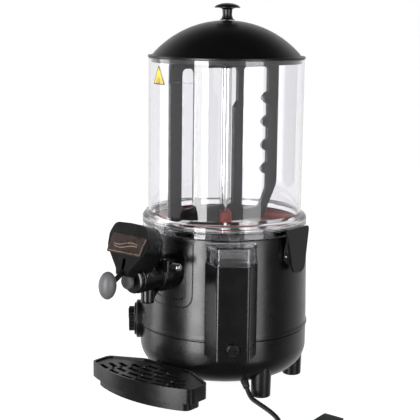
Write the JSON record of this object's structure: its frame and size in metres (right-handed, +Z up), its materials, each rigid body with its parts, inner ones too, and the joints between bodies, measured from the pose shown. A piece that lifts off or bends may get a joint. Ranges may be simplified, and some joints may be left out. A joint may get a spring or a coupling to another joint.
{
  "type": "hot drink dispenser",
  "caption": "Round counter-top dispenser: clear tank with domed lid and stirrer over a heated base, side level column, lever tap and drip tray.",
  "frame": {"origin": "centre of the bounding box of the machine without its cord, on the surface the feet stand on", "axes": "+Z up, -Y towards the tap, +X towards the side with the level column"},
  "size_m": [0.453, 0.3994, 0.58],
  "materials": {
    "body_black": "semi-gloss moulded plastic",
    "trim_black": "satin moulded plastic",
    "knob_grey": "matt dark grey plastic",
    "clear_plastic": "clear polished polycarbonate",
    "silicone_red": "matt food-grade silicone",
    "polished_steel": "polished stainless steel",
    "plated_steel": "zinc plated",
    "brass": "machined",
    "black_rubber": "matt",
    "badge_brown": "printed label plate with no lettering"
  },
  "bodies": {
    "body": {"body_shell": "body_black", "body_base": "body_black", "level_housing": "body_black", "tap_barrel": "body_black", "tap_mount": "body_black", "tap_hood": "body_black", "tap_shield": "body_black", "foot_front_right": "trim_black", "foot_rear_right": "trim_black", "foot_rear_left": "trim_black", "foot_front_left": "trim_black", "dial_bezel": "trim_black", "switch_frame": "trim_black", "tap_cap": "trim_black", "tray_bracket": "trim_black", "thermostat": "knob_grey", "terminal_block": "knob_grey", "tank": "clear_plastic", "level_window": "clear_plastic", "tank_gasket": "silicone_red", "shaft_seal": "silicone_red", "filler_pipe": "silicone_red", "heated_floor": "polished_steel", "water_bath": "polished_steel", "outlet_pipe": "polished_steel", "tap_pivot_pin": "polished_steel", "latch_pin_right": "polished_steel", "latch_pin_left": "polished_steel", "tap_spring": "polished_steel", "base_plate": "plated_steel", "gear_plate": "plated_steel", "gear_motor": "plated_steel", "heating_element": "plated_steel", "shaft_bush": "brass", "strain_relief": "black_rubber", "power_cord": "black_rubber", "cord_coil": "black_rubber", "power_plug": "black_rubber", "tap_badge": "badge_brown"},
    "lid": {"lid_dome": "trim_black", "lid_knob": "trim_black", "lid_knob_screw": "plated_steel"},
    "stirrer": {"stirrer_frame": "trim_black", "stirrer_tube": "polished_steel", "drive_shaft": "polished_steel", "drive_gear": "brass"},
    "pinion": {"motor_pinion": "plated_steel"},
    "tap_handle": {"tap_lever": "trim_black", "tap_knob": "knob_grey"},
    "tap_valve": {"tap_piston": "knob_grey", "piston_seal": "silicone_red"},
    "lock_pin": {"tap_lock_pin": "polished_steel"},
    "dial": {"dial_knob": "trim_black"},
    "rocker": {"switch_rocker": "knob_grey"},
    "right_latch": {"latch_right": "trim_black"},
    "left_latch": {"latch_left": "trim_black"},
    "drain": {"drain_plug": "trim_black"},
    "column_lid": {"level_lid": "clear_plastic"},
    "tray": {"drip_tray": "body_black"},
    "grille": {"drip_grille": "trim_black"}
  },
  "joints": [
    {"name": "lid_lift", "type": "slide", "parent": "body", "child": "lid", "axis": [0, 0, 1], "range_m": [0, 0.15]},
    {"name": "stirrer_spin", "type": "hinge", "parent": "body", "child": "stirrer", "pos_m": [0, 0.0687, 0.3], "axis": [0, 0, 1], "continuous": true},
    {"name": "pinion_spin", "type": "hinge", "parent": "body", "child": "pinion", "pos_m": [0, 0.1091, 0.134], "axis": [0, 0, 1], "continuous": true},
    {"name": "tap_handle_lift", "type": "hinge", "parent": "body", "child": "tap_handle", "pos_m": [0, -0.1343, 0.2175], "axis": [-1, 0, 0], "range_deg": [0, 25], "stiffness_Nm_per_rad": 1, "springref_deg": -11.46},
    {"name": "tap_valve_slide", "type": "slide", "parent": "body", "child": "tap_valve", "axis": [0, -1, 0], "range_m": [0, 0.0131]},
    {"name": "lock_pin_pull", "type": "slide", "parent": "body", "child": "lock_pin", "axis": [1, 0, 0], "range_m": [0, 0.03]},
    {"name": "dial_turn", "type": "hinge", "parent": "body", "child": "dial", "pos_m": [-0.10404, -0.02498, 0.092], "axis": [-0.7431, -0.6691, 0], "range_deg": [0, 270]},
    {"name": "rocker_tilt", "type": "hinge", "parent": "body", "child": "rocker", "pos_m": [-0.12471, 0.04219, 0.132], "axis": [0.2079, -0.9781, 0], "range_deg": [-16, 0]},
    {"name": "right_latch_open", "type": "hinge", "parent": "body", "child": "right_latch", "pos_m": [0.1315, 0.0687, 0.214], "axis": [0, 1, 0], "range_deg": [0, 15]},
    {"name": "left_latch_open", "type": "hinge", "parent": "body", "child": "left_latch", "pos_m": [-0.1315, 0.0687, 0.214], "axis": [0, -1, 0], "range_deg": [0, 15]},
    {"name": "drain_plug_pull", "type": "slide", "parent": "body", "child": "drain", "axis": [0.6884, -0.7254, 0], "range_m": [0, 0.02]},
    {"name": "column_lid_lift", "type": "slide", "parent": "body", "child": "column_lid", "axis": [0, 0, 1], "range_m": [0, 0.04]},
    {"name": "tray_pull", "type": "slide", "parent": "body", "child": "tray", "axis": [0, -1, 0], "range_m": [0, 0.12]},
    {"name": "grille_lift", "type": "slide", "parent": "tray", "child": "grille", "axis": [0, 0, 1], "range_m": [0, 0.05]}
  ],
  "couplings": [
    {"joint": "pinion_spin", "follows": "stirrer_spin", "ratio": -3},
    {"joint": "tap_valve_slide", "follows": "tap_handle_lift", "m_per_rad": 0.029794}
  ]
}
